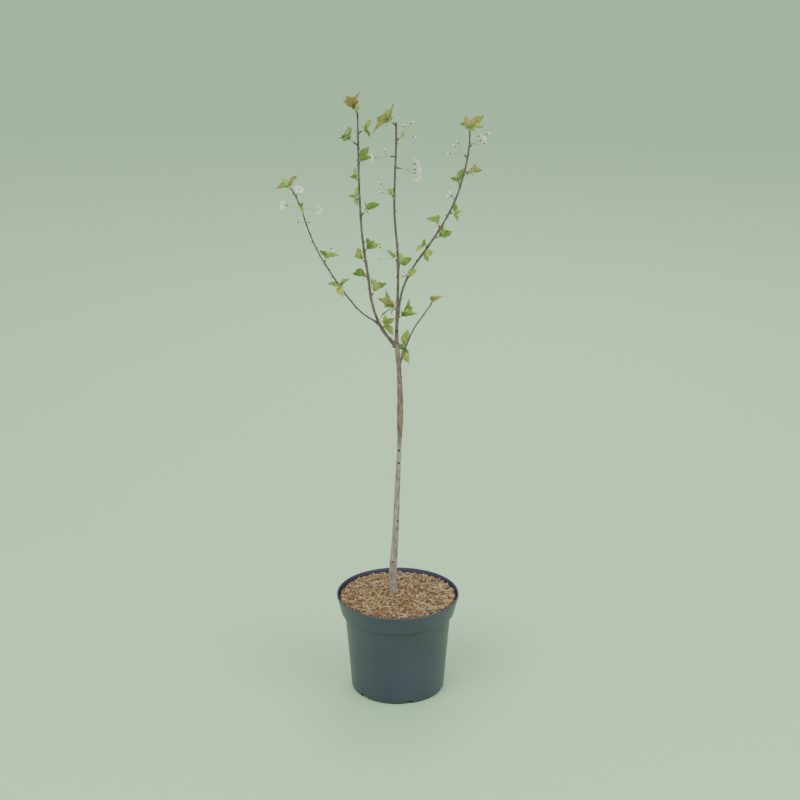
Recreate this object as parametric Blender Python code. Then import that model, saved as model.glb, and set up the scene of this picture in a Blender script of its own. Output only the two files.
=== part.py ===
"""Young sour cherry tree in its nursery pot, as separate closed solids (metres, Z up).

The pot stands on z = 0 with its axis on Z. +X is the viewer's right, -Y is towards the viewer.
Limbs are tubes swept along leaning courses, and each tuft of leaves or blossom is one star-shaped
solid whose tips come from a seeded rule.
"""
import math

import bmesh
import bpy
import numpy as np

# Pot: a 5-litre nursery container
RIM_RADIUS = 0.1122
COLLAR_FOOT_RADIUS = 0.1043
BODY_RADIUS = 0.0972
BASE_RADIUS = 0.0853
POT_HEIGHT = 0.186
COLLAR_HEIGHT = 0.034
STEP_HEIGHT = 0.005
WALL = 0.0016
FLOOR = 0.005
FOOT_RECESS = 0.003
BASE_EDGE = 0.004
SEGMENTS = 32
NOTCHES = 6
NOTCH_WIDTH = 0.018
NOTCH_HEIGHT = 0.0065
NOTCH_DEPTH = 0.010
FIRST_NOTCH = math.radians(-76.7)

# What fills the pot
GAP = 0.0003
SOIL_TOP = 0.1470
MULCH_SEAT = 0.1827
MULCH_BACK = 0.1755
MULCH_FRONT = 0.1800
SEAT_RADIUS = 0.012
MOUND_RADIUS = 0.055
CHIP_RELIEF = 0.0022

# Limbs: length, radius at the foot and tip, leans in degrees at even shares of the length
GROUND = MULCH_SEAT + GAP
TRUNK_FOOT = (-0.0068, 0.004, GROUND)
TRUNK_LENGTH = 0.484
TRUNK_SIDE = (-5.7, 4.6, 2.1, 2.4, 2.4, 0.7, -2.3, -6.6)
TRUNK_SHARES = (0, 0.02, 0.1, 0.3, 0.58, 0.63, 0.68, 0.715, 0.8, 0.9, 1)
TRUNK_GIRTH = (0.0086, 0.0074, 0.0068, 0.0055, 0.0041, 0.0041, 0.0053, 0.0060, 0.0051, 0.0045, 0.0044)
STEPS = 60

# name: carrier, share of the carrier, first point, length, radii, side leans, depth leans
LIMBS = {
    "leader": ("trunk", None, None, 0.3934, (0.0042, 0.0025, 0.0016),
               (0.4, 2.1, 0.3, -6.4, 1.1, 2.7, -1.2), (1.8,)),
    "upright": ("trunk", 0.985, (-0.0102, 0.004, 0.6702), 0.4102, (0.0034, 0.0024, 0.0015),
                (-44, -21, -6, -9.6, -5, -2.5, -1.4, -0.5, -1.5), (7,)),
    "outer": ("upright", 0.082, (-0.0379, 0.012, 0.7043), 0.3219, (0.0019, 0.0015, 0.0011),
              (-59.5, -34.6, -29.4, -27.6, -18.6, -13.1, -26.9), (-27.5, -20.1, -21.3)),
    "right": ("leader", 0.042, (-0.0023, 0.0, 0.6928), 0.402, (0.0026, 0.0021, 0.0014),
              (6.9, 5.3, 22.9, 34, 31, 25.4, 15.2, 10.2, -2), (-8.9, -13, -11.7, -10.9)),
    "twig": ("trunk", 0.92, (0.0064, 0.008, 0.6356), 0.114, (0.0021, 0.0016, 0.0012),
             (21.3, 23.7, 40.5, 39.1), (28.7, 33.8)),
}
LIMB_SHARES = (0, 0.1, 1)
LIMB_SIDES = 8
TRUNK_SIDES = 12

# Tufts: limb, share of its length, bearing and rise of the spur, spur length in mm, leaves, their
# length in mm, buds, open flowers, their stalks in mm, seed
TUFTS = (
    ("upright", 0.067, 289, 47, 12.3, 3, 25, 0, 0, 18, 32),
    ("upright", 0.217, 27, 56, 7.8, 3, 34, 0, 0, 4, 99),
    ("upright", 0.300, 137, 23, 2.3, 3, 25, 0, 0, 15, 141),
    ("upright", 0.367, 175, 45, 4.6, 3, 26, 0, 0, 15, 211),
    ("upright", 0.417, 38, 27, 2.0, 3, 30, 0, 0, 12, 54),
    ("upright", 0.567, 23, 46, 8.9, 2, 39, 0, 0, 8, 24),
    ("upright", 0.633, 112, 9, 15.2, 3, 18, 0, 0, 18, 360),
    ("upright", 0.717, 125, 26, 3.6, 2, 19, 0, 0, 14, 219),
    ("upright", 0.783, 64, 45, 4.3, 3, 29, 0, 0, 16, 351),
    ("upright", 0.867, 194, 39, 14.7, 3, 39, 0, 0, 14, 192),
    ("upright", 0.917, 55, 15, 15.3, 3, 24, 0, 0, 17, 349),
    ("upright", 1.000, 199, 65, 5.7, 5, 36, 0, 0, 18, 339),
    ("outer", 0.300, 233, 50, 7.8, 3, 33, 0, 0, 21, 262),
    ("outer", 0.500, 80, 37, 8.5, 2, 24, 3, 0, 23, 2353),
    ("outer", 0.767, 105, 32, 3.5, 0, 8, 2, 0, 15, 2173),
    ("outer", 0.883, 281, 13, 6.5, 2, 15, 0, 2, 34, 424),
    ("outer", 0.950, 290, 64, 2.0, 0, 9, 1, 2, 9, 2711),
    ("outer", 1.000, 120, 19, 6.9, 3, 28, 0, 0, 13, 2),
    ("right", 0.267, 247, 30, 4.0, 2, 27, 2, 0, 20, 1312),
    ("right", 0.383, 295, 23, 8.1, 2, 26, 0, 0, 21, 282),
    ("right", 0.433, 240, 27, 8.3, 2, 19, 0, 0, 8, 37),
    ("right", 0.483, 26, 14, 6.4, 3, 30, 0, 0, 11, 20),
    ("right", 0.533, 230, 71, 8.7, 2, 26, 0, 0, 22, 174),
    ("right", 0.617, 303, 18, 14.4, 3, 20, 0, 0, 12, 159),
    ("right", 0.683, 111, 29, 3.5, 0, 13, 0, 1, 7, 3608),
    ("right", 0.750, 102, 32, 7.2, 3, 29, 0, 0, 10, 38),
    ("right", 0.817, 20, 12, 5.1, 3, 29, 0, 0, 15, 346),
    ("right", 0.883, 202, 46, 10.5, 0, 7, 3, 0, 20, 3453),
    ("right", 0.933, 25, 40, 4.0, 0, 14, 3, 1, 29, 1863),
    ("right", 1.000, 92, 24, 6.7, 5, 32, 0, 0, 12, 374),
    ("twig", 0.183, 106, -2, 4.1, 4, 32, 0, 0, 4, 360),
    ("twig", 1.000, 320, 73, 2.0, 3, 23, 0, 0, 26, 123),
    ("leader", 0.150, 155, 40, 3.5, 5, 33, 0, 0, 21, 172),
    ("leader", 0.117, 348, 32, 4.3, 5, 34, 0, 0, 9, 250),
    ("leader", 0.367, 191, 64, 9.5, 2, 23, 2, 0, 48, 2573),
    ("leader", 0.350, 76, 6, 11.0, 2, 29, 0, 0, 24, 157),
    ("leader", 0.667, 143, 33, 2.4, 2, 24, 2, 0, 25, 1186),
    ("leader", 0.850, 205, 2, 13.9, 0, 11, 1, 1, 23, 2502),
    ("leader", 0.800, 1, -8, 13.5, 0, 8, 0, 4, 28, 1719),
    ("leader", 0.917, 342, 46, 7.4, 1, 10, 3, 0, 33, 3125),
    ("leader", 0.983, 182, 44, 9.8, 3, 47, 0, 0, 29, 74),
)
GOLDEN_TURN = math.pi * (3 - 5 ** 0.5)
CORE = 0.0034
CLEAR = 0.0009
PEAK_ANGLE = 26.0

MATERIALS = {
    "pot_plastic": (0.09, 0.11, 0.14, 1),
    "potting_soil": (0.05, 0.035, 0.025, 1),
    "wood_chips": (0.38, 0.24, 0.12, 1),
    "old_bark": (0.30, 0.25, 0.20, 1),
    "young_bark": (0.20, 0.14, 0.13, 1),
    "leaf_mass": (0.20, 0.34, 0.06, 1),
    "blossom_mass": (0.80, 0.80, 0.74, 1),
}


def clear_scene():
    for obj in list(bpy.data.objects):
        bpy.data.objects.remove(obj, do_unlink=True)


def material(name):
    """The named Principled material, made on first use."""
    found = bpy.data.materials.get(name)
    if found is None:
        found = bpy.data.materials.new(name)
        found.use_nodes = True
        shader = found.node_tree.nodes["Principled BSDF"]
        shader.inputs["Base Color"].default_value = MATERIALS[name]
        shader.inputs["Roughness"].default_value = 0.7
    return found


def add_mesh(name, points, faces, slot=None):
    """A new object from points and faces, turned so its faces look out."""
    mesh = bpy.data.meshes.new(name)
    mesh.from_pydata([tuple(p) for p in points], [], [tuple(f) for f in faces])
    work = bmesh.new()
    work.from_mesh(mesh)
    bmesh.ops.recalc_face_normals(work, faces=work.faces)
    work.to_mesh(mesh)
    work.free()
    obj = bpy.data.objects.new(name, mesh)
    bpy.context.scene.collection.objects.link(obj)
    if slot:
        mesh.materials.append(material(slot))
    return obj


def add_cut(obj, cutter):
    """Cuts a hidden cutter out of an object."""
    cutter.hide_render = True
    cutter.display_type = "WIRE"
    cut = obj.modifiers.new("cut", "BOOLEAN")
    cut.operation = "DIFFERENCE"
    cut.solver = "EXACT"
    cut.object = cutter


def ring_faces(rings, sides):
    """Quads between closed rings of points, one row of quads for each pair of rings."""
    faces = []
    for ring in range(rings - 1):
        for side in range(sides):
            after = (side + 1) % sides
            low, high = ring * sides, (ring + 1) * sides
            faces.append((low + side, low + after, high + after, high + side))
    return faces


def turned(name, profile, slot, lift=None):
    """A solid turned about Z from (radius, height) rows that run from the axis back to the axis."""
    angle = 2 * math.pi * np.arange(SEGMENTS) / SEGMENTS
    rings = np.array(profile[1:-1], float)
    points = np.stack([
        np.outer(rings[:, 0], np.cos(angle)),
        np.outer(rings[:, 0], np.sin(angle)),
        np.outer(rings[:, 1], np.ones(SEGMENTS)),
    ], -1)
    if lift is not None:
        points[..., 2] += lift(points)
    points = points.reshape(-1, 3)
    first, last = len(points), len(points) + 1
    points = np.vstack([points, [0, 0, profile[0][1]], [0, 0, profile[-1][1]]])
    faces = ring_faces(len(rings), SEGMENTS)
    top = (len(rings) - 1) * SEGMENTS
    for side in range(SEGMENTS):
        after = (side + 1) % SEGMENTS
        faces.append((first, after, side))
        faces.append((last, top + side, top + after))
    return add_mesh(name, points, faces, slot)


def inner_radius(height):
    """The pot's inner radius at a height, as one wall thickness inside its outer faces."""
    step = POT_HEIGHT - COLLAR_HEIGHT
    heights = (0, step - STEP_HEIGHT, step, POT_HEIGHT)
    radii = (BASE_RADIUS, BODY_RADIUS, COLLAR_FOOT_RADIUS, RIM_RADIUS)
    return float(np.interp(height, heights, radii)) - WALL


def make_pot():
    step = POT_HEIGHT - COLLAR_HEIGHT
    disc, ring = 0.36 * BASE_RADIUS, 0.82 * BASE_RADIUS
    profile = [
        (0, 0), (disc, 0), (disc + FOOT_RECESS, FOOT_RECESS), (ring, FOOT_RECESS),
        (ring + FOOT_RECESS, 0), (BASE_RADIUS - BASE_EDGE, 0), (BASE_RADIUS, BASE_EDGE),
        (BODY_RADIUS, step - STEP_HEIGHT), (COLLAR_FOOT_RADIUS, step),
        (RIM_RADIUS - 0.0002, POT_HEIGHT - 0.0012), (RIM_RADIUS - 0.0007, POT_HEIGHT),
        (RIM_RADIUS - WALL - 0.0002, POT_HEIGHT), (inner_radius(POT_HEIGHT - 0.002), POT_HEIGHT - 0.002),
        (inner_radius(step), step), (inner_radius(step - STEP_HEIGHT), step - STEP_HEIGHT),
        (inner_radius(FLOOR), FLOOR), (0, FLOOR),
    ]
    pot = turned("pot", profile, "pot_plastic")
    for number in range(NOTCHES):
        angle = FIRST_NOTCH + 2 * math.pi * number / NOTCHES
        reach = BASE_RADIUS - NOTCH_DEPTH + 0.03
        size = (0.06, NOTCH_WIDTH, 2 * NOTCH_HEIGHT)
        corners = np.array([(x, y, z) for x in (-1, 1) for y in (-1, 1) for z in (-1, 1)], float)
        corners = corners * np.array(size) / 2 + (reach, 0, 0)
        corners[corners[:, 2] > 0, 1] *= 0.7
        turn = np.array([
            [math.cos(angle), math.sin(angle), 0],
            [-math.sin(angle), math.cos(angle), 0],
            [0, 0, 1],
        ])
        box = [(0, 1, 3, 2), (4, 6, 7, 5), (0, 4, 5, 1), (2, 3, 7, 6), (0, 2, 6, 4), (1, 5, 7, 3)]
        add_cut(pot, add_mesh(f"cutter_notch_{number + 1}", corners @ turn, box))


def make_fill():
    low = FLOOR + GAP
    soil = [
        (0, low), (inner_radius(low) - 2 * GAP, low),
        (inner_radius(SOIL_TOP) - 2 * GAP, SOIL_TOP), (0, SOIL_TOP),
    ]
    turned("root_ball", soil, "potting_soil")
    step = POT_HEIGHT - COLLAR_HEIGHT
    bottom = SOIL_TOP + GAP
    rng = np.random.default_rng(11)

    def top_height(radius, angle_y):
        slope = (MULCH_BACK + MULCH_FRONT) / 2 + (MULCH_BACK - MULCH_FRONT) / 2 * angle_y
        share = np.clip((radius - SEAT_RADIUS) / MOUND_RADIUS, 0, 1)
        return MULCH_SEAT + (slope - MULCH_SEAT) * share

    radii = (0.100, 0.085, 0.068, 0.050, 0.032)
    edge = inner_radius(MULCH_BACK) - 3 * GAP
    profile = [(0, bottom), (inner_radius(bottom) - 3 * GAP, bottom),
               (inner_radius(step) - 4 * GAP, step + 2 * GAP), (edge, MULCH_BACK)]
    profile += [(radius, MULCH_BACK) for radius in radii]
    profile += [(SEAT_RADIUS, MULCH_SEAT), (0, MULCH_SEAT)]

    def lift(points):
        """Raises the top rings to the slope and mound, with chips' roughness on all but the seat."""
        rise = np.zeros(points.shape[:2])
        top = slice(2, 3 + len(radii))
        radius = np.hypot(points[top, :, 0], points[top, :, 1])
        rise[top] = top_height(radius, points[top, :, 1] / RIM_RADIUS) - points[top, :, 2]
        rise[top] += CHIP_RELIEF * (rng.random(radius.shape) - 0.5)
        return rise

    turned("mulch", profile, "wood_chips", lift)


def course(start, length, side, deep):
    """Points along a limb: unit steps whose side and depth leans run smoothly between stations."""
    share = (np.arange(STEPS) + 0.5) / STEPS
    lean = np.radians(np.interp(share, np.linspace(0, 1, len(side)), side))
    away = np.radians(np.interp(share, np.linspace(0, 1, len(deep)), deep))
    way = np.stack([np.tan(lean), np.tan(away), np.ones(STEPS)], 1)
    way /= np.linalg.norm(way, axis=1, keepdims=True)
    return np.vstack([start, start + np.cumsum(way * length / STEPS, axis=0)])


def tube(name, path, radius, sides, slot=None, level_ends=False):
    """A closed tube of given radii round a path; level_ends keeps its two end rings level."""
    along = np.gradient(path, axis=0)
    along /= np.linalg.norm(along, axis=1, keepdims=True)
    if level_ends:
        along[0] = along[-1] = (0, 0, 1)
    across = np.cross(along, (0, 1, 0))
    across /= np.linalg.norm(across, axis=1, keepdims=True)
    over = np.cross(along, across)
    angle = 2 * math.pi * np.arange(sides) / sides
    round_ = np.cos(angle)[:, None, None] * across + np.sin(angle)[:, None, None] * over
    points = path[:, None] + radius[:, None, None] * np.swapaxes(round_, 0, 1)
    count = len(path)
    faces = ring_faces(count, sides)
    faces.append(tuple(range(sides))[::-1])
    faces.append(tuple(range((count - 1) * sides, count * sides)))
    return add_mesh(name, points.reshape(-1, 3), faces, slot)


def limb_paths():
    """name: (path, radius) for the trunk and every limb, the limbs rooted inside their carriers."""
    share = np.linspace(0, 1, STEPS + 1)
    trunk = course(np.array(TRUNK_FOOT), TRUNK_LENGTH, TRUNK_SIDE, (0.2,))
    paths = {"trunk": (trunk, np.interp(share, TRUNK_SHARES, TRUNK_GIRTH))}
    for name, (carrier, at, first, length, radii, side, deep) in LIMBS.items():
        start = paths[carrier][0][-1] if first is None else np.array(first)
        if first is None:
            start = start + (0, 0, GAP)
        path = course(start, length, side, deep)
        paths[name] = (path, np.interp(share, LIMB_SHARES, radii))
    return paths


def make_limbs(paths):
    trunk, girth = paths["trunk"]
    keep = np.unique(np.r_[0, 1, 2, np.arange(3, STEPS + 1, 3), STEPS])
    tube("trunk", trunk[keep], girth[keep], TRUNK_SIDES, "old_bark", True)
    keep = np.unique(np.r_[0, np.arange(2, STEPS + 1, 3), STEPS])
    for name, (carrier, at, first, *_) in LIMBS.items():
        path, radius = paths[name]
        path, radius = path[keep], radius[keep]
        title = {"leader": name, "twig": "right_twig"}.get(name, name + "_bough")
        if first is None:
            tube(title, path, radius, LIMB_SIDES, "young_bark", True)
            continue
        body, thick = paths[carrier]
        place = int(round(at * STEPS))
        root = body[place]
        path = np.vstack([root, path])
        radius = np.r_[min(radius[0], 0.8 * thick[place]), radius]
        limb = tube(title, path, radius, LIMB_SIDES, "young_bark")
        span = slice(max(place - 9, 0), min(place + 10, STEPS + 1))
        cutter = tube("cutter_" + name, body[span], thick[span] + 1.6 * GAP, TRUNK_SIDES)
        add_cut(limb, cutter)
        if name == "upright":
            body, thick = paths["leader"]
            body = np.vstack([body[0] - (0, 0, 0.004), body[:12]])
            thick = np.r_[thick[0], thick[:12]]
            cutter = tube("cutter_fork", body, thick + 2 * GAP, TRUNK_SIDES)
            add_cut(limb, cutter)


def side_axes(axis):
    """Two unit vectors square to an axis and to each other."""
    first = np.cross((0, 0, 1), axis)
    first /= np.linalg.norm(first)
    return first, np.cross(axis, first)


def organs(axis, leaves, leaf, buds, blooms, stalk, seed):
    """Directions and lengths of a spur's leaves, buds and flowers, set round it by the golden turn."""
    rng = np.random.default_rng(seed)
    count = leaves + buds + blooms
    draw = rng.random((count, 4))
    turn = GOLDEN_TURN * np.arange(count) + 2 * math.pi * draw[0, 3] + 1.2 * (draw[:, 2] - 0.5)
    opening = np.radians(12 + 68 * draw[:, 0])
    first, second = side_axes(axis)
    ring = np.cos(turn)[:, None] * first + np.sin(turn)[:, None] * second
    way = np.cos(opening)[:, None] * axis + np.sin(opening)[:, None] * ring
    size = np.where(np.arange(count) < leaves, leaf, stalk) * (0.6 + 0.5 * draw[:, 1])
    return way, size


def even_directions():
    """The 42 corners of an icosahedron divided once, as unit vectors."""
    work = bmesh.new()
    bmesh.ops.create_icosphere(work, subdivisions=2, radius=1)
    found = np.array([vert.co[:] for vert in work.verts])
    work.free()
    return found / np.linalg.norm(found, axis=1, keepdims=True)


def pulled_in(heart, way, reach, paths):
    """Shortens each reach so that its ray stays clear of every limb."""
    share = np.linspace(0.04, 1, 40)
    ray = heart + way[:, None] * reach[:, None, None] * share[:, None]
    clear = np.ones(ray.shape[:2], bool)
    for path, radius in paths.values():
        far = np.linalg.norm(ray[:, :, None] - path[None, None], axis=-1)
        clear &= (far > radius + CLEAR).all(-1)
    stop = np.where(clear.all(1), len(share), np.argmin(clear, axis=1))
    return reach * share[np.clip(stop - 1, 0, len(share) - 1)]


def make_tuft(name, row, paths):
    """One uneven closed solid: a lobe to each tip of the spur and a neck back to its limb."""
    limb, at, bearing, rise, spur, leaves, leaf, buds, blooms, stalk, seed = row
    path, radius = paths[limb]
    place = int(round(at * STEPS))
    bearing, rise = math.radians(bearing), math.radians(rise)
    axis = np.array([
        math.cos(bearing) * math.cos(rise),
        math.sin(bearing) * math.cos(rise),
        math.sin(rise),
    ])
    heart = path[place] + axis * (radius[place] + spur / 1000 + 0.002)
    way, size = organs(axis, leaves, leaf / 1000, buds, blooms, stalk / 1000, seed)
    if place == STEPS:
        foot = path[-1] + (path[-1] - path[-2]) / np.linalg.norm(path[-1] - path[-2]) * GAP
    else:
        along = path[place + 1] - path[place - 1]
        along /= np.linalg.norm(along)
        foot = path[place] + axis * (radius[place] + GAP) / max(np.linalg.norm(np.cross(along, axis)), 0.35)
    neck = (foot - heart) / np.linalg.norm(foot - heart)
    tips = np.vstack([way, neck])
    reach = np.r_[size, np.linalg.norm(foot - heart)]
    others = even_directions()
    near = (others @ tips.T).max(1) > math.cos(math.radians(PEAK_ANGLE))
    others = others[~near]
    rng = np.random.default_rng(seed + 1)
    lobes = np.exp(6 * ((others @ way.T) - 1)) * size
    body = CORE * (0.7 + 0.6 * rng.random(len(others))) + 0.45 * lobes.max(1)
    body = pulled_in(heart, others, body, paths)
    reach[:-1] = pulled_in(heart, way, reach[:-1], paths)
    ways = np.vstack([tips, others])
    reach = np.r_[reach, body]
    work = bmesh.new()
    verts = [work.verts.new(tuple(w)) for w in ways]
    work.verts.index_update()
    hull = bmesh.ops.convex_hull(work, input=verts)
    work.verts.index_update()
    faces = [tuple(v.index for v in face.verts) for face in work.faces]
    work.free()
    slot = "blossom_mass" if blooms else "leaf_mass"
    return add_mesh(name, heart + ways * reach[:, None], faces, slot)


clear_scene()
make_pot()
make_fill()
limb_paths_found = limb_paths()
make_limbs(limb_paths_found)
counts = {}
for tuft in TUFTS:
    counts[tuft[0]] = counts.get(tuft[0], 0) + 1
    make_tuft(f"{tuft[0]}_tuft_{counts[tuft[0]]}", tuft, limb_paths_found)
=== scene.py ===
# %% [markdown]
# A young sour cherry tree in its nursery pot.
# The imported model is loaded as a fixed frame. Nearly everything that shows is a new surface, worked
# out with numpy from the same named sizes as the solids, so bark, leaves and blossom sit where they
# do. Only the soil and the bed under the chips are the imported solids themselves, newly finished.

# %% Load the frame
import math

import bpy
import numpy as np
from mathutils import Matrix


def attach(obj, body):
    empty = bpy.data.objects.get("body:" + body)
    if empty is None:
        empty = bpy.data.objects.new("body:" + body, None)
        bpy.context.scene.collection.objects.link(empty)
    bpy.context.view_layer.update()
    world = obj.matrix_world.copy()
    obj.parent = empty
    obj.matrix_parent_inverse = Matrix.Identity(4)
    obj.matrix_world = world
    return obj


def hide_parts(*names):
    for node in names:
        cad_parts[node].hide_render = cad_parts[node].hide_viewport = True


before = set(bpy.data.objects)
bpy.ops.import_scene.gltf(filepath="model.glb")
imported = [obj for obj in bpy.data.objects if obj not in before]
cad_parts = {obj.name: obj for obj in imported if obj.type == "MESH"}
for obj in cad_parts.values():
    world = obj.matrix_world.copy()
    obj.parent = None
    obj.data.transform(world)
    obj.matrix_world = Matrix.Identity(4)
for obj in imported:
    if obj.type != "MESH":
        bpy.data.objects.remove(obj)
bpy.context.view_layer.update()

# %% [markdown]
# The camera stands a little over three metres away, higher than the tree, and looks down at it.
# A long lens keeps the pot's sides nearly straight, and a small shift frames the plant.

# %% Camera
LENS_MM = 91.44
SENSOR_MM = 36
FRAMING_SHIFT = (0.00275, -0.0171)
CAMERA_DISTANCE = 3.406
CAMERA_HEIGHT = 1.778
CAMERA_DIP = 19.26  # degrees below level

camera_data = bpy.data.cameras.new("camera")
camera_data.lens = LENS_MM
camera_data.sensor_width = SENSOR_MM
camera_data.shift_x, camera_data.shift_y = FRAMING_SHIFT
camera_data.clip_end = 200
camera = bpy.data.objects.new("camera", camera_data)
camera.location = (0, -CAMERA_DISTANCE, CAMERA_HEIGHT)
camera.rotation_euler = (math.radians(90 - CAMERA_DIP), 0, 0)
bpy.context.scene.collection.objects.link(camera)
bpy.context.scene.camera = camera
print("camera at", tuple(camera.location))

# %% [markdown]
# A piece is a mesh made from two arrays, its points and its faces. These helpers do what every piece
# needs: number the quads of a grid, join parts into one, and attach it to the root body when it has a slot.
# Arrays are chosen over modelling by hand because thousands of chips and leaves follow one rule.

# %% Helpers for meshes
COLLECTION = bpy.context.scene.collection


def new_piece(name, points, faces, material, slot, smooth=True):
    """A finished piece from arrays: points (n, 3) and faces (m, 3 or 4)."""
    mesh = bpy.data.meshes.new(name)
    mesh.from_pydata(np.asarray(points).tolist(), [], np.asarray(faces).tolist())
    mesh.polygons.foreach_set("use_smooth", np.full(len(mesh.polygons), smooth))
    mesh.materials.append(material)
    mesh.update()
    obj = bpy.data.objects.new(name, mesh)
    COLLECTION.objects.link(obj)
    if slot:
        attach(obj, "root")
    print(name, len(mesh.polygons), "faces")
    return obj


def grid_faces(rows, columns, closed):
    """Quads of a rows by columns grid of points; a closed grid joins its last column to its first."""
    row = np.arange(rows - 1)[:, None]
    column = np.arange(columns if closed else columns - 1)[None]
    after = (column + 1) % columns
    quads = [row * columns + column, row * columns + after,
             (row + 1) * columns + after, (row + 1) * columns + column]
    return np.stack(quads, -1).reshape(-1, 4)


def joined(parts):
    """Several (points, faces) made into one, each part's face numbers moved past the points before."""
    starts = np.cumsum([0] + [len(points) for points, _ in parts[:-1]])
    points = np.vstack([points for points, _ in parts])
    return points, np.vstack([faces + start for (_, faces), start in zip(parts, starts)])


# %% [markdown]
# Plastic, bark, wood and leaf all show soft clouds of colour and a finer relief. That effect is one
# node group with named inputs, placed in each material with its own scales, and it reads object
# coordinates. The shader stays in the material, which adds its own colours, roughness and depth.

# %% Helpers for materials
GRAIN_RATIO = 3


def shader(name, roughness):
    """A new material, its node tree and its Principled shader with a fixed roughness."""
    found = bpy.data.materials.new(name)
    found.use_nodes = True
    tree = found.node_tree
    principled = tree.nodes["Principled BSDF"]
    principled.inputs["Roughness"].default_value = roughness
    return found, tree, principled


def weathering_group():
    """A node group: wide clouds and fine grain, both noises in object coordinates, stretched alike."""
    group = bpy.data.node_groups.new("weathering", "ShaderNodeTree")
    for title in ("Cloud Scale", "Grain Scale"):
        group.interface.new_socket(name=title, in_out="INPUT", socket_type="NodeSocketFloat")
    group.interface.new_socket(name="Stretch", in_out="INPUT", socket_type="NodeSocketVector")
    for title in ("Clouds", "Grain"):
        group.interface.new_socket(name=title, in_out="OUTPUT", socket_type="NodeSocketFloat")
    given = group.nodes.new("NodeGroupInput")
    result = group.nodes.new("NodeGroupOutput")
    place = group.nodes.new("ShaderNodeTexCoord")
    mapping = group.nodes.new("ShaderNodeMapping")
    group.links.new(place.outputs["Object"], mapping.inputs["Vector"])
    group.links.new(given.outputs["Stretch"], mapping.inputs["Scale"])
    for title, scale, detail in (("Clouds", "Cloud Scale", 6), ("Grain", "Grain Scale", 5)):
        texture = group.nodes.new("ShaderNodeTexNoise")
        texture.inputs["Detail"].default_value = detail
        group.links.new(mapping.outputs["Vector"], texture.inputs["Vector"])
        group.links.new(given.outputs[scale], texture.inputs["Scale"])
        group.links.new(texture.outputs["Fac"], result.inputs[title])
    return group


WEATHERING = weathering_group()


def weathered(tree, clouds, grain, stretch=(1, 1, 1)):
    """The weathering group placed in a material, with its own two scales and its stretch."""
    node = tree.nodes.new("ShaderNodeGroup")
    node.node_tree = WEATHERING
    node.inputs["Cloud Scale"].default_value = clouds
    node.inputs["Grain Scale"].default_value = grain
    node.inputs["Stretch"].default_value = stretch
    return node


def ramp(tree, value, stops):
    """Colours dealt out along a value."""
    node = tree.nodes.new("ShaderNodeValToRGB")
    elements = node.color_ramp.elements
    while len(elements) < len(stops):
        elements.new(0.5)
    for element, (place, colour) in zip(elements, stops):
        element.position = place
        element.color = (*colour, 1)
    tree.links.new(value, node.inputs["Fac"])
    return node.outputs["Color"]


def bump(tree, principled, height, strength, distance):
    """Relief on the shader's normal."""
    node = tree.nodes.new("ShaderNodeBump")
    node.inputs["Strength"].default_value = strength
    node.inputs["Distance"].default_value = distance
    tree.links.new(height, node.inputs["Height"])
    tree.links.new(node.outputs["Normal"], principled.inputs["Normal"])


def mottled(name, roughness, scale, stops, relief, distance, stretch=(1, 1, 1)):
    """A surface whose colour follows the clouds, and its relief a grain three times finer."""
    found, tree, principled = shader(name, roughness)
    worn = weathered(tree, scale, scale * GRAIN_RATIO, stretch)
    tree.links.new(ramp(tree, worn.outputs["Clouds"], stops), principled.inputs["Base Color"])
    bump(tree, principled, worn.outputs["Grain"], relief, distance)
    return found


# %% [markdown]
# A plain pale floor and large soft lights give the even studio light of a catalogue picture. The
# floor is one wide quad, left unattached because it is no part of the plant.

# %% Floor and lights
FLOOR_HALF = 40.0
FLOOR_COLOUR = (0.48, 0.73, 0.43, 1)
LIT_POINT = (0, 0, 0.5)
SKY_COLOUR = (0.95, 0.98, 1, 1)
SKY_STRENGTH = 0.85

floor_finish, _, floor_shader = shader("floor_pale", 0.9)
floor_shader.inputs["Base Color"].default_value = FLOOR_COLOUR
floor_corners = [(x * FLOOR_HALF, y * FLOOR_HALF, 0) for x, y in ((-1, -1), (1, -1), (1, 1), (-1, 1))]
floor = new_piece("floor", floor_corners, [(0, 1, 2, 3)], floor_finish, None)


def soft_light(name, place, size, power):
    """A large square lamp that looks at the middle of the tree."""
    data = bpy.data.lights.new(name, "AREA")
    data.size = size
    data.energy = power
    lamp = bpy.data.objects.new(name, data)
    lamp.location = place
    way = np.array(LIT_POINT) - np.array(place)
    flat = math.hypot(way[0], way[1])
    lamp.rotation_euler = (math.atan2(flat, -way[2]), 0, math.atan2(-way[0], way[1]))
    COLLECTION.objects.link(lamp)


soft_light("key", (-1.6, -2.2, 3.2), 2.5, 72)
soft_light("fill", (2.4, -1.6, 2.2), 2.5, 36)
soft_light("back", (0.4, 2.6, 2.6), 2.0, 30)
world = bpy.data.worlds.new("studio")
world.use_nodes = True
world.node_tree.nodes["Background"].inputs["Color"].default_value = SKY_COLOUR
world.node_tree.nodes["Background"].inputs["Strength"].default_value = SKY_STRENGTH
bpy.context.scene.world = world

# %% [markdown]
# The pot is thin moulded plastic: a conical body, a step, a collar and a rolled rim, with drain
# notches at the foot. It is a profile turned about Z, and the quads behind each notch are left out.

# %% Pot
RIM_RADIUS = 0.1122
COLLAR_FOOT_RADIUS = 0.1043
BODY_RADIUS = 0.0972
BASE_RADIUS = 0.0853
POT_HEIGHT = 0.186
COLLAR_FOOT = 0.152
BODY_TOP = 0.147
WALL = 0.0016
NOTCH_HEIGHT = 0.0065
NOTCH_HALF = 0.009
NOTCH_LEAN = 0.35  # how much its half width narrows for each metre of its height
NOTCH_SPACING = math.pi / 3
FIRST_NOTCH = math.radians(-76.7)
FOOT_INNER = 0.0765
TURNS = 288


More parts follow.
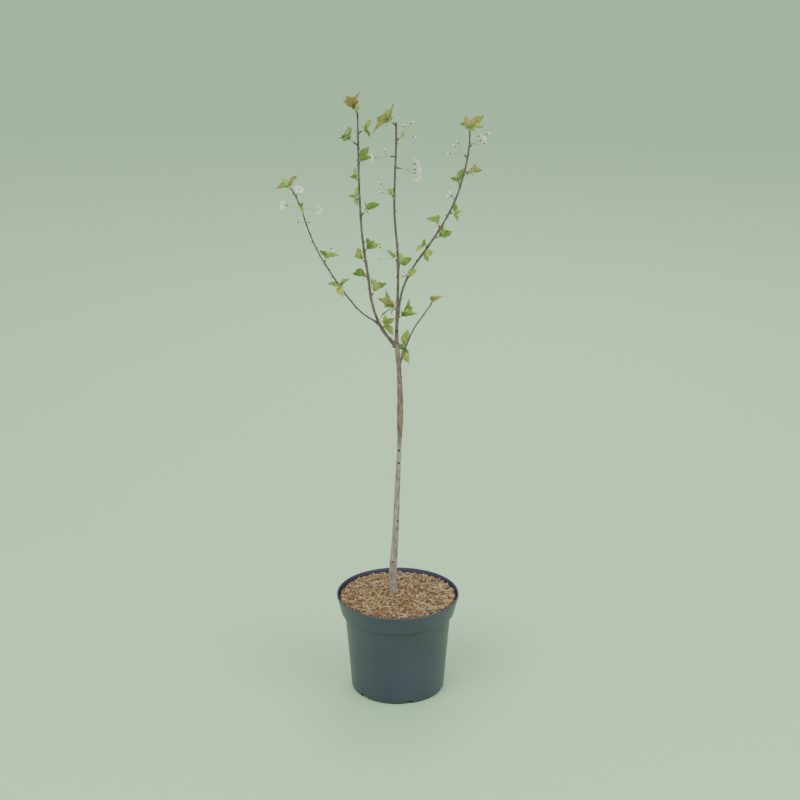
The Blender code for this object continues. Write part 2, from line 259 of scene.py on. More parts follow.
def pot_surface():
    """(radius, height) rows carried round Z; quads low on the wall near a notch angle are dropped."""
    low = BASE_RADIUS + (BODY_RADIUS - BASE_RADIUS) * NOTCH_HEIGHT / BODY_TOP
    rows = np.array([
        (0.0, 0.0), (0.030, 0.0), (0.034, 0.003), (0.070, 0.003), (0.073, 0.0), (0.0815, 0.0),
        (0.0838, 0.0008), (0.0850, 0.0024), (BASE_RADIUS + 0.0002, 0.004), (low, NOTCH_HEIGHT),
        (low + 0.0001, NOTCH_HEIGHT + 0.0005), (0.0912, 0.075), (BODY_RADIUS, BODY_TOP - 0.0006),
        (BODY_RADIUS + 0.0006, BODY_TOP), (COLLAR_FOOT_RADIUS - 0.0008, COLLAR_FOOT - 0.0006),
        (COLLAR_FOOT_RADIUS, COLLAR_FOOT), (COLLAR_FOOT_RADIUS + 0.0003, COLLAR_FOOT + 0.001),
        (0.1108, 0.1795), (0.1113, 0.1805), (RIM_RADIUS, 0.1822), (RIM_RADIUS, 0.1848),
        (RIM_RADIUS - 0.0006, POT_HEIGHT), (RIM_RADIUS - 0.0016, POT_HEIGHT),
        (RIM_RADIUS - 0.0022, 0.1850), (0.1092, 0.1795), (COLLAR_FOOT_RADIUS - WALL, COLLAR_FOOT),
        (BODY_RADIUS - WALL, BODY_TOP), (low - WALL, NOTCH_HEIGHT), (BASE_RADIUS - WALL, 0.0047),
    ])
    angle = 2 * math.pi * np.arange(TURNS) / TURNS
    points = np.stack([rows[:, :1] * np.cos(angle), rows[:, :1] * np.sin(angle),
                       np.repeat(rows[:, 1:], TURNS, 1)], -1)
    faces = grid_faces(len(rows), TURNS, True)
    middle = points.reshape(-1, 3)[faces].mean(1)
    bearing = np.arctan2(middle[:, 1], middle[:, 0]) - FIRST_NOTCH
    off = np.abs((bearing + NOTCH_SPACING / 2) % NOTCH_SPACING - NOTCH_SPACING / 2) * BASE_RADIUS
    wall = np.hypot(middle[:, 0], middle[:, 1]) > FOOT_INNER
    cut = wall & (middle[:, 2] < NOTCH_HEIGHT) & (off < NOTCH_HALF - NOTCH_LEAN * middle[:, 2])
    return points.reshape(-1, 3), faces[~cut]


def pot_finish():
    """Grey-blue polypropylene: faint clouding and the fine grain of the mould."""
    found, tree, principled = shader("pot_plastic", 0.42)
    worn = weathered(tree, 14, 900)
    stops = [(0.3, (0.046, 0.048, 0.076)), (0.7, (0.058, 0.060, 0.094))]
    colour = ramp(tree, worn.outputs["Clouds"], stops)
    tree.links.new(colour, principled.inputs["Base Color"])
    bump(tree, principled, worn.outputs["Grain"], 0.12, 0.0004)
    return found


pot = new_piece("pot_shell", *pot_surface(), pot_finish(), "pot_plastic")
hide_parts("pot")

# %% [markdown]
# The soil shows only through the drain notches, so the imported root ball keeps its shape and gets
# a dark crumbly finish. The mulch keeps its shape too, as the bed that the loose chips lie on.

# %% Soil and mulch bed
SOIL_COLOURS = [(0.3, (0.010, 0.007, 0.005)), (0.7, (0.035, 0.024, 0.016))]
BED_COLOURS = [(0.3, (0.035, 0.018, 0.008)), (0.7, (0.20, 0.11, 0.05))]
soil_finish = mottled("potting_soil", 0.95, 160, SOIL_COLOURS, 0.8, 0.002)
bed_finish = mottled("mulch_bed", 0.9, 220, BED_COLOURS, 0.9, 0.002)
for node, finish in (("root_ball", soil_finish), ("mulch", bed_finish)):
    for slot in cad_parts[node].material_slots:
        slot.material = finish
    print(node, "finished as", finish.name)

# %% [markdown]
# Shredded wood is thousands of thin curled splinters. Each is a bent four-sided strip, laid at a
# seeded place, bearing and tilt on the bed's height, in four shades from pale cream to red-brown.

# %% Wood chips
MULCH_SEAT = 0.1827
MULCH_BACK = 0.1755
MULCH_FRONT = 0.1800
SEAT_RADIUS = 0.012
MOUND_RADIUS = 0.055
SCATTER_RADIUS = 0.1035
SCATTER_HOLE = 0.010
CHIP_EDGE = 0.1060
HEAP_HEIGHT = 0.0012
HEAP_HOLE = 0.03
CHIP_CLEAR = 0.0004
CHIP_LAYER = 0.0026
CHIP_HALF_THICK = 0.00045
CHIP_STATIONS = 4
CHIP_SEED = 40


def bed_height(radius, y):
    """The mound's height: a slope from front to back that rises to the seat under the trunk."""
    slope = (MULCH_BACK + MULCH_FRONT) / 2 + (MULCH_BACK - MULCH_FRONT) / 2 * y / RIM_RADIUS
    share = np.clip((radius - SEAT_RADIUS) / MOUND_RADIUS, 0, 1)
    return MULCH_SEAT + (slope - MULCH_SEAT) * share


def chips(rng, count, length, width):
    """count bent strips: 4 stations of 4 corners, arched by a parabola, turned, tilted and laid."""
    radius = SCATTER_RADIUS * np.sqrt(rng.random(count))
    radius = np.maximum(radius, SCATTER_HOLE)
    round_ = 2 * math.pi * rng.random(count)
    long = length * (0.35 + rng.random(count) ** 2)
    wide = width * (0.5 + rng.random(count))
    reach = CHIP_EDGE - 0.5 * long
    radius = np.minimum(radius, reach)
    centre = np.stack([radius * np.cos(round_), radius * np.sin(round_)], 1)
    heap = HEAP_HEIGHT * np.clip(0.4 + centre[:, 1] / RIM_RADIUS, 0, 1) * (radius > HEAP_HOLE)
    high = bed_height(radius, centre[:, 1]) + heap + CHIP_CLEAR + CHIP_LAYER * rng.random(count)
    t = np.linspace(-0.5, 0.5, CHIP_STATIONS)
    corner = np.array([(-1, -1), (1, -1), (1, 1), (-1, 1)])
    along = long[:, None, None] * t[None, :, None] + np.zeros((1, 1, 4))
    taper = 1 - 1.1 * np.abs(t[None, :, None]) ** 2
    across = wide[:, None, None] * corner[None, None, :, 0] / 2 * taper
    curl = (rng.random(count) - 0.5)[:, None, None] * 1.6 * long[:, None, None]
    arch = curl * (0.25 - t[None, :, None] ** 2)
    up = CHIP_HALF_THICK * corner[None, None, :, 1] + arch
    turn = (2 * math.pi * rng.random(count))[:, None, None]
    tilt = ((rng.random(count) - 0.5) * 0.7)[:, None, None]
    flat = along * np.cos(tilt) - up * np.sin(tilt)
    rise = along * np.sin(tilt) + up * np.cos(tilt)
    x = centre[:, 0, None, None] + flat * np.cos(turn) - across * np.sin(turn)
    y = centre[:, 1, None, None] + flat * np.sin(turn) + across * np.cos(turn)
    z = high[:, None, None] + rise
    points = np.stack([x, y, z], -1).reshape(-1, 3)
    one = np.vstack([grid_faces(CHIP_STATIONS, 4, True), [(3, 2, 1, 0), (12, 13, 14, 15)]])
    faces = (one[None] + 4 * CHIP_STATIONS * np.arange(count)[:, None, None]).reshape(-1, 4)
    return points, faces


CHIP_SHADES = (
    ("tan", (0.40, 0.27, 0.125), 2600, 0.016, 0.0021),
    ("brown", (0.215, 0.12, 0.05), 2300, 0.012, 0.0028),
    ("red_brown", (0.235, 0.115, 0.055), 700, 0.011, 0.0026),
    ("cream", (0.59, 0.47, 0.28), 800, 0.019, 0.0018),
)
for number, (shade, colour, count, length, width) in enumerate(CHIP_SHADES):
    darker = tuple(0.55 * c for c in colour)
    finish = mottled("chips_" + shade, 0.85, 90, [(0.3, darker), (0.65, colour)], 0.5, 0.0006)
    rng = np.random.default_rng(CHIP_SEED + number)
    new_piece("chips_" + shade, *chips(rng, count, length, width), finish, "wood_chips", False)

# %% [markdown]
# Trunk and limbs follow leaning courses: the lean at even stations is interpolated, and unit steps
# are added up. First points, lengths and leans were fitted to the limbs' routes in the photograph.

# %% Courses of the limbs
GROUND = 0.1830
TRUNK_SIDE = (-5.7, 4.6, 2.1, 2.4, 2.4, 0.7, -2.3, -6.6)
TRUNK_SHARES = (0, 0.02, 0.1, 0.3, 0.58, 0.63, 0.68, 0.715, 0.8, 0.9, 1)
TRUNK_GIRTH = (0.0086, 0.0074, 0.0068, 0.0055, 0.0041, 0.0041, 0.0053, 0.0060, 0.0051, 0.0045, 0.0044)
TRUNK_FOOT = (-0.0068, 0.004, GROUND)
TRUNK_LENGTH = 0.484
LIMB_SHARES = (0, 0.1, 1)
STEPS = 60
# name: carrier, share of the carrier, first point, length, radii, side leans, depth leans
LIMBS = {
    "leader": ("trunk", None, None, 0.3934, (0.0042, 0.0025, 0.0016),
               (0.4, 2.1, 0.3, -6.4, 1.1, 2.7, -1.2), (1.8,)),
    "upright": ("trunk", 0.985, (-0.0102, 0.004, 0.6702), 0.4102, (0.0034, 0.0024, 0.0015),
                (-44, -21, -6, -9.6, -5, -2.5, -1.4, -0.5, -1.5), (7,)),
    "outer": ("upright", 0.082, (-0.0379, 0.012, 0.7043), 0.3219, (0.0019, 0.0015, 0.0011),
              (-59.5, -34.6, -29.4, -27.6, -18.6, -13.1, -26.9), (-27.5, -20.1, -21.3)),
    "right": ("leader", 0.042, (-0.0023, 0.0, 0.6928), 0.402, (0.0026, 0.0021, 0.0014),
              (6.9, 5.3, 22.9, 34, 31, 25.4, 15.2, 10.2, -2), (-8.9, -13, -11.7, -10.9)),
    "twig": ("trunk", 0.92, (0.0064, 0.008, 0.6356), 0.114, (0.0021, 0.0016, 0.0012),
             (21.3, 23.7, 40.5, 39.1), (28.7, 33.8)),
}


def course(start, length, side, deep):
    """Points along a limb: unit steps whose side and depth leans run smoothly between stations."""
    share = (np.arange(STEPS) + 0.5) / STEPS
    lean = np.radians(np.interp(share, np.linspace(0, 1, len(side)), side))
    away = np.radians(np.interp(share, np.linspace(0, 1, len(deep)), deep))
    way = np.stack([np.tan(lean), np.tan(away), np.ones(STEPS)], 1)
    way /= np.linalg.norm(way, axis=1, keepdims=True)
    return np.vstack([start, start + np.cumsum(way * length / STEPS, axis=0)])


def limb_paths():
    """name: (path, radius) for the trunk and every limb."""
    share = np.linspace(0, 1, STEPS + 1)
    trunk = course(np.array(TRUNK_FOOT), TRUNK_LENGTH, TRUNK_SIDE, (0.2,))
    paths = {"trunk": (trunk, np.interp(share, TRUNK_SHARES, TRUNK_GIRTH))}
    for name, (carrier, _, first, length, radii, side, deep) in LIMBS.items():
        start = paths[carrier][0][-1] if first is None else np.array(first)
        path = course(start, length, side, deep)
        paths[name] = (path, np.interp(share, LIMB_SHARES, radii))
    return paths


PATHS = limb_paths()
print("limbs", {name: np.round(path[-1], 3).tolist() for name, (path, _) in PATHS.items()})

# %% [markdown]
# A cherry carries its leaves and blossom on short spurs along each limb. Each row below is one spur:
# where it sits, which way it points and how much it carries. A seed then sets each leaf and flower.
# Most rows were found by a search for the outlines in the photograph, and a few set one by one.

# %% Spurs and what they carry
# limb, share of its length, bearing and rise of the spur, spur length in mm, leaves, their length
# in mm, buds, open flowers, their stalks in mm, seed
TUFTS = (
    ("upright", 0.067, 289, 47, 12.3, 3, 25, 0, 0, 18, 32),
    ("upright", 0.217, 27, 56, 7.8, 3, 34, 0, 0, 4, 99),
    ("upright", 0.300, 137, 23, 2.3, 3, 25, 0, 0, 15, 141),
    ("upright", 0.367, 175, 45, 4.6, 3, 26, 0, 0, 15, 211),
    ("upright", 0.417, 38, 27, 2.0, 3, 30, 0, 0, 12, 54),
    ("upright", 0.567, 23, 46, 8.9, 2, 39, 0, 0, 8, 24),
    ("upright", 0.633, 112, 9, 15.2, 3, 18, 0, 0, 18, 360),
    ("upright", 0.717, 125, 26, 3.6, 2, 19, 0, 0, 14, 219),
    ("upright", 0.783, 64, 45, 4.3, 3, 29, 0, 0, 16, 351),
    ("upright", 0.867, 194, 39, 14.7, 3, 39, 0, 0, 14, 192),
    ("upright", 0.917, 55, 15, 15.3, 3, 24, 0, 0, 17, 349),
    ("upright", 1.000, 199, 65, 5.7, 5, 36, 0, 0, 18, 339),
    ("outer", 0.300, 233, 50, 7.8, 3, 33, 0, 0, 21, 262),
    ("outer", 0.500, 80, 37, 8.5, 2, 24, 3, 0, 23, 2353),
    ("outer", 0.767, 105, 32, 3.5, 0, 8, 2, 0, 15, 2173),
    ("outer", 0.883, 281, 13, 6.5, 2, 15, 0, 2, 34, 424),
    ("outer", 0.950, 290, 64, 2.0, 0, 9, 1, 2, 9, 2711),
    ("outer", 1.000, 120, 19, 6.9, 3, 28, 0, 0, 13, 2),
    ("right", 0.267, 247, 30, 4.0, 2, 27, 2, 0, 20, 1312),
    ("right", 0.383, 295, 23, 8.1, 2, 26, 0, 0, 21, 282),
    ("right", 0.433, 240, 27, 8.3, 2, 19, 0, 0, 8, 37),
    ("right", 0.483, 26, 14, 6.4, 3, 30, 0, 0, 11, 20),
    ("right", 0.533, 230, 71, 8.7, 2, 26, 0, 0, 22, 174),
    ("right", 0.617, 303, 18, 14.4, 3, 20, 0, 0, 12, 159),
    ("right", 0.683, 111, 29, 3.5, 0, 13, 0, 1, 7, 3608),
    ("right", 0.750, 102, 32, 7.2, 3, 29, 0, 0, 10, 38),
    ("right", 0.817, 20, 12, 5.1, 3, 29, 0, 0, 15, 346),
    ("right", 0.883, 202, 46, 10.5, 0, 7, 3, 0, 20, 3453),
    ("right", 0.933, 25, 40, 4.0, 0, 14, 3, 1, 29, 1863),
    ("right", 1.000, 92, 24, 6.7, 5, 32, 0, 0, 12, 374),
    ("twig", 0.183, 106, -2, 4.1, 4, 32, 0, 0, 4, 360),
    ("twig", 1.000, 320, 73, 2.0, 3, 23, 0, 0, 26, 123),
    ("leader", 0.150, 155, 40, 3.5, 5, 33, 0, 0, 21, 172),
    ("leader", 0.117, 348, 32, 4.3, 5, 34, 0, 0, 9, 250),
    ("leader", 0.367, 191, 64, 9.5, 2, 23, 2, 0, 48, 2573),
    ("leader", 0.350, 76, 6, 11.0, 2, 29, 0, 0, 24, 157),
    ("leader", 0.667, 143, 33, 2.4, 2, 24, 2, 0, 25, 1186),
    ("leader", 0.850, 205, 2, 13.9, 0, 11, 1, 1, 23, 2502),
    ("leader", 0.800, 1, -8, 13.5, 0, 8, 0, 4, 28, 1719),
    ("leader", 0.917, 342, 46, 7.4, 1, 10, 3, 0, 33, 3125),
    ("leader", 0.983, 182, 44, 9.8, 3, 47, 0, 0, 29, 74),
)
GOLDEN_TURN = math.pi * (3 - 5 ** 0.5)


def side_axes(axis):
    """Two unit vectors square to an axis and to each other."""
    first = np.cross((0, 0, 1), axis)
    first /= np.linalg.norm(first)
    return first, np.cross(axis, first)


def organs(axis, leaves, leaf, buds, blooms, stalk, seed):
    """Directions and lengths of a spur's leaves, buds and flowers, set round it by the golden turn."""
    rng = np.random.default_rng(seed)
    count = leaves + buds + blooms
    draw = rng.random((count, 4))
    turn = GOLDEN_TURN * np.arange(count) + 2 * math.pi * draw[0, 3] + 1.2 * (draw[:, 2] - 0.5)
    opening = np.radians(12 + 68 * draw[:, 0])
    first, second = side_axes(axis)
    ring = np.cos(turn)[:, None] * first + np.sin(turn)[:, None] * second
    way = np.cos(opening)[:, None] * axis + np.sin(opening)[:, None] * ring
    size = np.where(np.arange(count) < leaves, leaf, stalk) * (0.6 + 0.5 * draw[:, 1])
    return way, size


# %% [markdown]
# Young bark is a thin skin with lenticels and small ridges, thicker round each spur and at the graft.
# It is a tube round the limb's course whose radius carries those swellings and a sum of seeded
# waves, so the relief is in the mesh, and the node group only adds the finest grain.

# %% Bark tubes
FRAME_HINT = (0.13, 0.99, 0.0)  # a direction that no limb runs along
SWELLING = 0.22
RIDGE_WAVES = 14


def tube(path, radius, sides):
    """A tube: at each path point a ring of sides corners in the plane square to the path."""
    along = np.gradient(path, axis=0)
    along /= np.linalg.norm(along, axis=1, keepdims=True)
    across = np.cross(along, FRAME_HINT)
    across /= np.linalg.norm(across, axis=1, keepdims=True)
    over = np.cross(along, across)
    angle = 2 * math.pi * np.arange(sides) / sides
    ring = np.cos(angle)[None, :, None] * across[:, None] + np.sin(angle)[None, :, None] * over[:, None]
    radius = np.broadcast_to(np.asarray(radius).reshape(len(path), -1), (len(path), sides))
    points = path[:, None] + radius[..., None] * ring
    low = len(path) * sides
    points = np.vstack([points.reshape(-1, 3), path[0], path[-1]])
    faces = grid_faces(len(path), sides, True)
    side = np.arange(sides)
    after = (side + 1) % sides
    top = (len(path) - 1) * sides
    bottom_faces = np.stack([after, side, np.full(sides, low)], 1)
    top_faces = np.stack([top + side, top + after, np.full(sides, low + 1)], 1)
    return points, faces, np.vstack([bottom_faces, top_faces])


def closed_tube(path, radius, sides):
    """The tube with its ends closed by triangles, all faces as triangles."""
    points, quads, ends = tube(path, radius, sides)
    return points, np.vstack([quads[:, :3], quads[:, [0, 2, 3]], ends])


def bark(name, sides, fine, relief, seed):
    """A limb's tube with finer steps, a swelling at each spur and ridges made of seeded waves."""
    path, radius = PATHS[name]
    old = np.linspace(0, 1, len(path))
    share = np.linspace(0, 1, fine)
    smooth = np.stack([np.interp(share, old, path[:, k]) for k in range(3)], 1)
    girth = np.interp(share, old, radius)
    for row in TUFTS:
        if row[0] == name:
            girth = girth * (1 + SWELLING * np.exp(-((share - row[1]) * len(path) / 1.1) ** 2))
    rng = np.random.default_rng(seed)
    angle = 2 * math.pi * np.arange(sides) / sides
    ridge = np.zeros((fine, sides))
    for _ in range(RIDGE_WAVES):
        turns = rng.integers(0, 5)
        rate = 20 + 240 * rng.random()
        phase = 2 * math.pi * rng.random()
        ridge += np.sin(turns * angle[None] + rate * share[:, None] + phase) / RIDGE_WAVES
    return closed_tube(smooth, girth[:, None] * (1 + relief * ridge), sides)


def carrier_joint(name):
    """The short root of a limb, from its carrier's middle to its first point."""
    carrier, at, first, _, radii, _, _ = LIMBS[name]
    path, thick = PATHS[carrier]
    place = int(round(at * STEPS))
    start, end = path[place], PATHS[name][0][1]
    share = np.linspace(0, 1, ROOT_STATIONS)[:, None]
    girth = np.linspace(0.9 * thick[place], radii[0], ROOT_STATIONS)
    return closed_tube(start + (end - start) * share, girth, 16)


# %% [markdown]
# The stock below the graft has pale grey bark, the stem above it is browner, and the limbs are dark
# and thin-skinned. So one trunk tube is parted at the graft, and each stretch takes its own finish.

# %% Bark finishes and pieces
UNION_HEIGHT = 0.306  # of the graft above the ground, where the darker bark starts
ROOT_STATIONS = 6

old_bark = mottled("old_bark", 0.8, 130, [(0.28, (0.13, 0.095, 0.075)), (0.5, (0.30, 0.25, 0.205)),
                   (0.75, (0.44, 0.39, 0.33))], 0.55, 0.0012, (1, 1, 0.35))
young_bark = mottled("young_bark", 0.6, 150, [(0.3, (0.060, 0.040, 0.038)), (0.55, (0.135, 0.095, 0.085)),
                     (0.8, (0.22, 0.18, 0.165))], 0.45, 0.0008, (1, 1, 0.5))
scion_bark = mottled("scion_bark", 0.72, 140, [(0.28, (0.085, 0.055, 0.040)), (0.5, (0.20, 0.14, 0.105)),
                     (0.75, (0.32, 0.25, 0.20))], 0.5, 0.001, (1, 1, 0.4))
WOUND_COLOURS = [(0.3, (0.015, 0.010, 0.008)), (0.7, (0.07, 0.045, 0.035))]
wound = mottled("pruning_wound", 0.9, 300, WOUND_COLOURS, 0.6, 0.001)
trunk_points, trunk_faces = bark("trunk", 40, 420, 0.16, 3)
middle = trunk_points[trunk_faces].mean(1)
above = middle[:, 2] + 0.5 * middle[:, 0] > GROUND + UNION_HEIGHT
trunk = new_piece("trunk_bark", trunk_points, trunk_faces[~above], old_bark, "old_bark")
scion = new_piece("scion_bark", trunk_points, trunk_faces[above], scion_bark, "old_bark")
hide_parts("trunk")
roots = [carrier_joint(name) for name in LIMBS if LIMBS[name][2] is not None]
limb_parts = [bark(name, 20, 300, 0.14, 5 + k) for k, name in enumerate(LIMBS)]
limbs = new_piece("limb_bark", *joined(limb_parts + roots), young_bark, "young_bark")
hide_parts("leader", "upright_bough", "outer_bough", "right_bough", "right_twig")

# %% [markdown]
# Every spur carries leaves on short stalks, and some carry buds or open flowers on long pale ones.
# They could be flat cards, but a leaf that folds and droops catches the light as a real one does.
# So a leaf is a folded, arched grid whose width follows a skewed sine, and a flower is five cupped
# petals round a tuft of stamens.


# %% Leaf, bud and flower shapes
LEAF_ROWS = 13
LEAF_COLUMNS = 7
LEAF_HALF_WIDTH = 0.25
PETALS = 5
PETAL_GRID = 7
STAMENS = 15
STAMEN_THICK = 0.00018
STRAND_STATIONS = 7


def leaf_blade(base, way, axis, length, rng):
    """A grid: width runs as sin(pi t^0.8), the sides fold up, and the tip droops by t squared."""
    side = np.cross(way, axis)
    side /= np.linalg.norm(side)
    face = np.cross(side, way)
    t = np.linspace(0, 1, LEAF_ROWS)[:, None]
    s = np.linspace(-1, 1, LEAF_COLUMNS)[None]
    saw = 1 + 0.06 * np.cos(40 * t)
    half = LEAF_HALF_WIDTH * length * np.sin(math.pi * t ** 0.8) * saw
    fold = 0.25 + 0.45 * rng.random()
    droop = (0.5 * rng.random() - 0.12) * length
    twist = 0.5 * (rng.random() - 0.5) * t
    across = half * s
    up = half * np.abs(s) * fold - droop * t ** 2 + 0.02 * length * np.sin(14 * t) * s ** 2
    wide = across * np.cos(twist) - up * np.sin(twist)
    high = across * np.sin(twist) + up * np.cos(twist)
    along = (0.12 + 0.88 * t) * length + 0 * s
    points = base + along[..., None] * way + wide[..., None] * side + high[..., None] * face
    return points.reshape(-1, 3), grid_faces(LEAF_ROWS, LEAF_COLUMNS, False)


def strand(start, end, thick, sag, sides=6):
    """A thin round stalk between two points, sagging by a parabola."""
    t = np.linspace(0, 1, STRAND_STATIONS)[:, None]
    path = start + (end - start) * t + np.array((0, 0, 1)) * sag * 4 * t * (1 - t)
    return closed_tube(path, np.full(STRAND_STATIONS, thick), sides)


def egg(centre, way, long, wide):
    """A bud: rings whose radius runs as a sine from end to end of its length."""
    t = np.linspace(0.02, 0.98, 8)
    path = centre + way * long * (t[:, None] - 0.5)
    return closed_tube(path, wide * np.sin(math.pi * t ** 0.85) + 0.0001, 10)


def petals(centre, way, radius, rng):
    """Five round cupped petals: each a grid whose half width is a sine and whose rim curls inward."""
    first, second = side_axes(way)
    found = []
    cup = 0.35 + 0.5 * rng.random()
    for number in range(PETALS):
        angle = 2 * math.pi * (number + 0.15 * rng.random()) / PETALS
        out = math.cos(angle) * first + math.sin(angle) * second
        side = np.cross(way, out)
        t = np.linspace(0, 1, PETAL_GRID)[:, None]
        s = np.linspace(-1, 1, PETAL_GRID)[None]
        half = 0.56 * radius * np.sin(math.pi * (0.06 + 0.88 * t) ** 1.15)
        lift = cup * radius * t ** 1.5 * 0.8 + 0.18 * radius * s ** 2 * t
        reach = radius * t * (1 - 0.12 * s ** 2) + 0 * s
        points = centre + reach[..., None] * out + (half * s)[..., None] * side + lift[..., None] * way
        found.append((points.reshape(-1, 3), grid_faces(PETAL_GRID, PETAL_GRID, False)))
    return found


def stamens(centre, way, radius, rng):
    """Fifteen short threads that spread from the flower's heart."""
    first, second = side_axes(way)
    found = []
    for number in range(STAMENS):
        angle = GOLDEN_TURN * number
        lean = 0.55 * rng.random()
        out = way + lean * (math.cos(angle) * first + math.sin(angle) * second)
        tip = centre + out * radius * (0.45 + 0.2 * rng.random())
        found.append(strand(centre, tip, STAMEN_THICK, 0, 4))
    return found


# %% [markdown]
# Where shoots were cut off the trunk, round dark scars are left, and along each limb small buds lie
# close to the bark. Both are the bud's egg shape, sunk into the bark for a scar.

# %% Pruning wounds and sleeping buds
# share of the trunk's height, bearing in degrees and width in mm of each healed cut
WOUNDS = ((0.14, 262, 4.2), (0.27, 290, 3.4), (0.30, 300, 4.0), (0.462, 285, 2.6), (0.536, 278, 4.4),
          (0.576, 262, 5.0), (0.85, 276, 3.6), (0.40, 80, 4.2), (0.66, 120, 4.0))
SCAR_LONG = 0.0030
SCAR_SUNK = 0.93  # share of the trunk's radius where a scar's middle lies
SLEEPING_LONG = 0.0040
SLEEPING_WIDE = 0.0012
scars = []
for share, bearing, wide in WOUNDS:
    path, radius = PATHS["trunk"]
    place = int(round(share * STEPS))
    bearing = math.radians(bearing)
    out = np.array([math.cos(bearing), math.sin(bearing), 0.12])
    out /= np.linalg.norm(out)
    scars.append(egg(path[place] + out * radius[place] * SCAR_SUNK, out, SCAR_LONG, wide / 2000))
new_piece("trunk_wounds", *joined(scars), wound, "old_bark")
sleeping = []
for limb, (path, radius) in PATHS.items():
    if limb == "trunk":
        continue
    first_place, spacing = (5, 14) if limb == "twig" else (9, 3)
    for number, place in enumerate(range(first_place, STEPS - 2, spacing)):
        along = (path[place + 1] - path[place - 1]) / np.linalg.norm(path[place + 1] - path[place - 1])
        turn = GOLDEN_TURN * number + len(limb)
        out = math.cos(turn) * side_axes(along)[0] + math.sin(turn) * side_axes(along)[1] + 0.8 * along
        out /= np.linalg.norm(out)
        centre = path[place] + out * (radius[place] + SLEEPING_LONG / 4)
        sleeping.append(egg(centre, out, SLEEPING_LONG, SLEEPING_WIDE))

# %% [markdown]
# Now each row of the table grows. A woody spur leaves the limb, a green neck carries on to its heart,
# and leaves, buds and flowers stand round the heart by the golden turn, as shoots do. Each large
# leaf has two smaller ones beside it. Every kind is gathered apart, to be joined into one piece.

# %% Rules for growing
TIP_SHARE = 0.97
TIP_BRONZE = 0.55
OTHER_BRONZE = 0.06
FRESH_SHARE = 0.6
HEART_GAP = 0.002
WOODY_SHARE = 0.45
BLADE_LENGTH = 1.02
STALK_SHARE = 0.2
UPPER_LEAF = 0.55
LOWER_LEAF = 0.38
STALK_SAG = 0.04
CALYX_WIDE = 0.0016
PETAL_RADIUS = 0.0092
KINDS = ("spur", "deep", "fresh", "bronze", "stalk", "bud", "calyx", "petal", "stamen")
grown = {key: [] for key in KINDS}


def triangles(points, quads):
    """The same part with each quad cut along one diagonal."""
    return points, np.vstack([quads[:, :3], quads[:, [0, 2, 3]]])


def leaf_tone(at, rng):
    """Bronze for many leaves at a limb's tip and a few elsewhere, else fresh or deep green."""
    tone = "bronze" if at > TIP_SHARE and rng.random() < TIP_BRONZE else (
        "fresh" if rng.random() < FRESH_SHARE else "deep")
    return "bronze" if rng.random() < OTHER_BRONZE else tone


def unit(way):
    """The way at length one."""
    return way / np.linalg.norm(way)


def grow_spur(root, thick, spur, axis):
    """The woody spur with its bud scales, and the green neck up to the heart, which is returned."""
    heart = root + axis * (thick + spur + HEART_GAP)
    woody = root + axis * (thick + WOODY_SHARE * spur + HEART_GAP / 2)
    grown["spur"].append(closed_tube(np.linspace(root, woody, 6), np.linspace(0.0016, 0.0013, 6), 10))
    grown["bud"].append(egg(woody, axis, 0.005, 0.0016))
    grown["stalk"].append(strand(woody, heart, 0.0008, 0))
    return heart


def grow_leaves(heart, axis, way, size, at, rng):
    """The large leaves first, then beside each a middle-sized upper leaf and a small lower one."""
    for leaf_way, length in zip(way, size):
        grown[leaf_tone(at, rng)].append(leaf_blade(heart, leaf_way, axis, length * BLADE_LENGTH, rng))
        grown["stalk"].append(strand(heart, heart + leaf_way * length * STALK_SHARE, 0.00055, 0))
    for number, (leaf_way, length) in enumerate(zip(way, size)):
        face = axis + 0.3 * leaf_way
        upper = unit(leaf_way * 0.6 + axis * 0.7 + 0.6 * (rng.random(3) - 0.5))
        tone = "bronze" if at > TIP_SHARE and number % 2 else "fresh"
        grown[tone].append(leaf_blade(heart, upper, face, length * UPPER_LEAF, rng))
        lower = unit(leaf_way - 0.5 * axis + 0.5 * (rng.random(3) - 0.5))
        grown["deep"].append(leaf_blade(heart, lower, face, length * LOWER_LEAF, rng))


def grow_blossom(heart, way, size, buds, rng):
    """Buds first, then open flowers, each on a long stalk that hangs a little."""
    for number, (stalk_way, length) in enumerate(zip(way, size)):
        tip = heart + stalk_way * length
        grown["stalk"].append(strand(heart, tip, 0.0005, -STALK_SAG * length))
        if number < buds:
            grown["calyx"].append(egg(tip, stalk_way, 0.0055, CALYX_WIDE))
            grown["petal"].append(egg(tip + stalk_way * 0.0028, stalk_way, 0.0045, 0.0019))
        else:
            grown["calyx"].append(egg(tip, stalk_way, 0.006, CALYX_WIDE))
            cup = tip + stalk_way * 0.002
            grown["petal"] += [triangles(*part) for part in petals(cup, stalk_way, PETAL_RADIUS, rng)]
            grown["stamen"] += stamens(cup, stalk_way, PETAL_RADIUS, rng)


# %% Grow the spurs
for limb, at, bearing, rise, spur, leaves, leaf, buds, blooms, stalk, seed in TUFTS:
    path, radius = PATHS[limb]
    place = int(round(at * STEPS))
    bearing, rise = math.radians(bearing), math.radians(rise)
    axis = np.array([math.cos(bearing) * math.cos(rise), math.sin(bearing) * math.cos(rise), math.sin(rise)])
    heart = grow_spur(path[place], radius[place], spur / 1000, axis)
    way, size = organs(axis, leaves, leaf / 1000, buds, blooms, stalk / 1000, seed)
    rng = np.random.default_rng(seed + 7)
    grow_leaves(heart, axis, way[:leaves], size[:leaves], at, rng)
    grow_blossom(heart, way[leaves:], size[leaves:], buds, rng)
grown["bud"] += sleeping
print({key: len(value) for key, value in grown.items()})
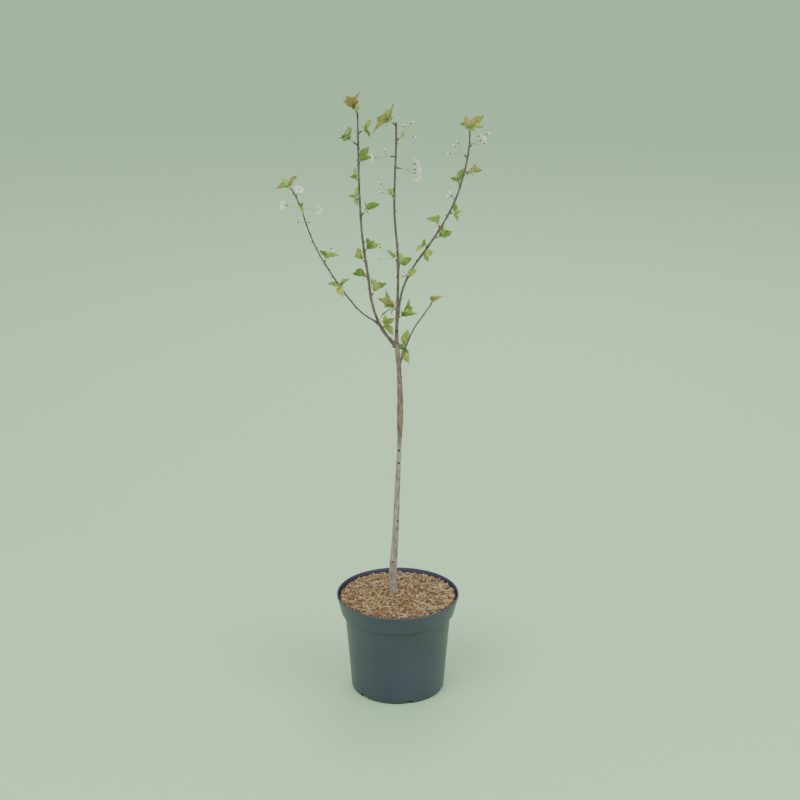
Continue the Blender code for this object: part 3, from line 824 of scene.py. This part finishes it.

# %% [markdown]
# Each leaf green runs from a darker to a lighter tone in soft clouds, and the deep, fresh and bronze
# leaf colours are set lighter and yellower than the leaves' own colour: painted glow of the light that
# shines through thin leaves. The blades have no veins of their own: a fine grain stands in for them,
# because each leaf is only a few millimetres across in the picture. Young leaves at the tips are
# bronze, and petals are a warm white.


# %% Finishes of leaves and blossom
def leaf_finish(name, dark, light):
    """A soft clouded colour with a fine grain, for every kind that the spurs carry."""
    return mottled(name, 0.5, 120, [(0.32, dark), (0.68, light)], 0.35, 0.0006)


FINISHES = {
    "spur": (young_bark, "young_bark"),
    # The deep, fresh and bronze leaf colours hold painted glow: they are lighter than the leaves' own
    # greens, for light shining through the thin blades.
    "deep": (leaf_finish("leaf_deep", (0.11, 0.19, 0.025), (0.22, 0.34, 0.055)), "leaf_mass"),
    "fresh": (leaf_finish("leaf_fresh", (0.22, 0.32, 0.045), (0.42, 0.52, 0.11)), "leaf_mass"),
    "bronze": (leaf_finish("leaf_bronze", (0.25, 0.19, 0.055), (0.40, 0.34, 0.10)), "leaf_mass"),
    "stalk": (leaf_finish("stalk_pale", (0.28, 0.36, 0.13), (0.46, 0.52, 0.25)), "leaf_mass"),
    "bud": (leaf_finish("bud_scale", (0.10, 0.05, 0.03), (0.20, 0.12, 0.06)), "leaf_mass"),
    "calyx": (leaf_finish("calyx_green", (0.16, 0.15, 0.045), (0.25, 0.26, 0.08)), "blossom_mass"),
    "petal": (leaf_finish("petal_white", (0.72, 0.73, 0.66), (0.88, 0.88, 0.84)), "blossom_mass"),
    "stamen": (leaf_finish("stamen_cream", (0.55, 0.55, 0.25), (0.75, 0.72, 0.40)), "blossom_mass"),
}
for key, parts in grown.items():
    finish, slot = FINISHES[key]
    parts = [triangles(*part) if part[1].shape[1] == 4 else part for part in parts]
    new_piece("tree_" + key, *joined(parts), finish, slot)

# %% [markdown]
# Each imported solid that a new piece stands for is hidden. A tuft with open flowers belongs to the
# petals and any other to the leaves. The names are counted along each limb, as the solids' were.

# %% Hide the solids that the new pieces stand for
leafy, bloomy = [], []
numbers = {}
for row in TUFTS:
    numbers[row[0]] = numbers.get(row[0], 0) + 1
    node = f"{row[0]}_tuft_{numbers[row[0]]}"
    (bloomy if row[8] else leafy).append(node)
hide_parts(*leafy)
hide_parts(*bloomy)
